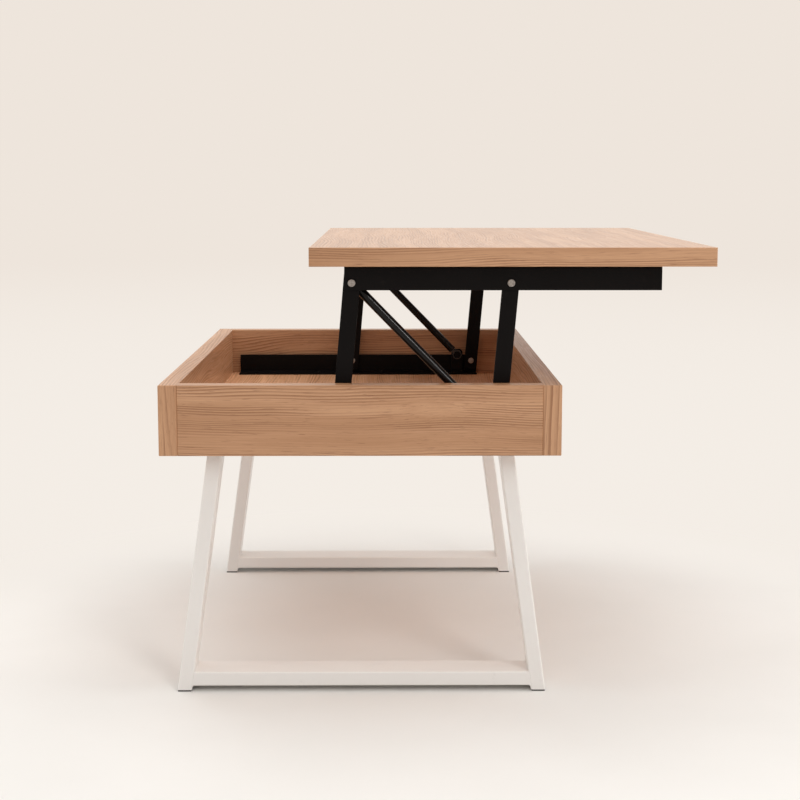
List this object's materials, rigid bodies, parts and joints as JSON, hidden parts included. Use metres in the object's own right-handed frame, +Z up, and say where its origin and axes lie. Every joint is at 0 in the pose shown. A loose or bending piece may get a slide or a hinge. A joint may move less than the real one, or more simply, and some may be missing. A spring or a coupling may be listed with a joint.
{
  "type": "lift-top table",
  "caption": "Coffee table whose top swings up and sideways on steel arms to dining height, over an open storage box on white trapezoid leg frames.",
  "frame": {"origin": "on the floor under the middle of the raised table's outline, halfway between the box's left side and the top's right side", "axes": "+Y along the table's length towards its rear end, +X across it towards the side that the raised top overhangs, +Z up"},
  "size_m": [0.8254, 0.9, 0.6853],
  "materials": {
    "oak": "satin oak-look boards with fine straight grain",
    "beech": "raw beech",
    "white_steel": "satin warm white powder coat",
    "black_steel": "satin black powder coat",
    "zinc_steel": "dull zinc plate",
    "rod_steel": "dark nitrided rod, ground smooth",
    "nylon": "dark matt nylon",
    "rubber": "matt rubber"
  },
  "bodies": {
    "base": {"left_side_panel": "oak", "right_side_panel": "oak", "side_panel_end_bands": "oak", "front_end_panel": "oak", "rear_end_panel": "oak", "floor_panel": "oak", "corner_splines": "beech", "front_left_leg": "white_steel", "front_right_leg": "white_steel", "rear_left_leg": "white_steel", "rear_right_leg": "white_steel", "front_stretcher": "white_steel", "rear_stretcher": "white_steel", "front_mount_plate": "white_steel", "rear_mount_plate": "white_steel", "foot_glides": "nylon", "front_lower_rail": "black_steel", "rear_lower_rail": "black_steel", "lower_rivets": "zinc_steel", "front_strut_bracket": "black_steel", "rear_strut_bracket": "black_steel", "strut_bracket_bolts": "black_steel"},
    "front_left_arm": {"front_left_arm": "black_steel"},
    "front_right_arm": {"front_right_arm": "black_steel"},
    "rear_left_arm": {"rear_left_arm": "black_steel"},
    "rear_right_arm": {"rear_right_arm": "black_steel"},
    "top": {"tabletop": "oak", "tabletop_end_bands": "oak", "tabletop_side_bands": "oak", "rim_pads": "rubber", "front_upper_rail": "black_steel", "rear_upper_rail": "black_steel", "upper_left_rivets": "zinc_steel", "upper_right_rivets": "zinc_steel"},
    "front_strut_tube": {"front_strut_tube": "black_steel", "front_strut_gland": "nylon"},
    "rear_strut_tube": {"rear_strut_tube": "black_steel", "rear_strut_gland": "nylon"},
    "front_strut_rod": {"front_strut_rod": "rod_steel"},
    "rear_strut_rod": {"rear_strut_rod": "rod_steel"}
  },
  "joints": [
    {"name": "lift", "type": "hinge", "parent": "base", "child": "front_left_arm", "pos_m": [-0.14365, -0.4088, 0.422], "axis": [0, -1, 0], "range_deg": [0, 85.1]},
    {"name": "front_right_swing", "type": "hinge", "parent": "base", "child": "front_right_arm", "pos_m": [0.09434, -0.4088, 0.422], "axis": [0, -1, 0], "range_deg": [0, 85.1]},
    {"name": "rear_left_swing", "type": "hinge", "parent": "base", "child": "rear_left_arm", "pos_m": [-0.14365, 0.4088, 0.422], "axis": [0, -1, 0], "range_deg": [0, 85.1]},
    {"name": "rear_right_swing", "type": "hinge", "parent": "base", "child": "rear_right_arm", "pos_m": [0.09434, 0.4088, 0.422], "axis": [0, -1, 0], "range_deg": [0, 85.1]},
    {"name": "top_level", "type": "hinge", "parent": "front_left_arm", "child": "top", "pos_m": [-0.12534, -0.4088, 0.63131], "axis": [0, 1, 0], "range_deg": [0, 85.1]},
    {"name": "front_tube_tilt", "type": "hinge", "parent": "top", "child": "front_strut_tube", "pos_m": [-0.12534, -0.39345, 0.63131], "axis": [0, -1, 0], "range_deg": [0, 42.57]},
    {"name": "rear_tube_tilt", "type": "hinge", "parent": "top", "child": "rear_strut_tube", "pos_m": [-0.12534, 0.39345, 0.63131], "axis": [0, -1, 0], "range_deg": [0, 42.57]},
    {"name": "front_rod_tilt", "type": "hinge", "parent": "base", "child": "front_strut_rod", "pos_m": [0.06604, -0.39345, 0.43519], "axis": [0, -1, 0], "range_deg": [0, 42.57]},
    {"name": "rear_rod_tilt", "type": "hinge", "parent": "base", "child": "rear_strut_rod", "pos_m": [0.06604, 0.39345, 0.43519], "axis": [0, -1, 0], "range_deg": [0, 42.57]}
  ],
  "couplings": [
    {"joint": "front_right_swing", "follows": "lift", "ratio": 1},
    {"joint": "rear_left_swing", "follows": "lift", "ratio": 1},
    {"joint": "rear_right_swing", "follows": "lift", "ratio": 1},
    {"joint": "top_level", "follows": "lift", "ratio": 1},
    {"joint": "front_tube_tilt", "follows": "lift", "ratio": 0.5},
    {"joint": "rear_tube_tilt", "follows": "lift", "ratio": 0.5},
    {"joint": "front_rod_tilt", "follows": "lift", "ratio": 0.5},
    {"joint": "rear_rod_tilt", "follows": "lift", "ratio": 0.5}
  ]
}
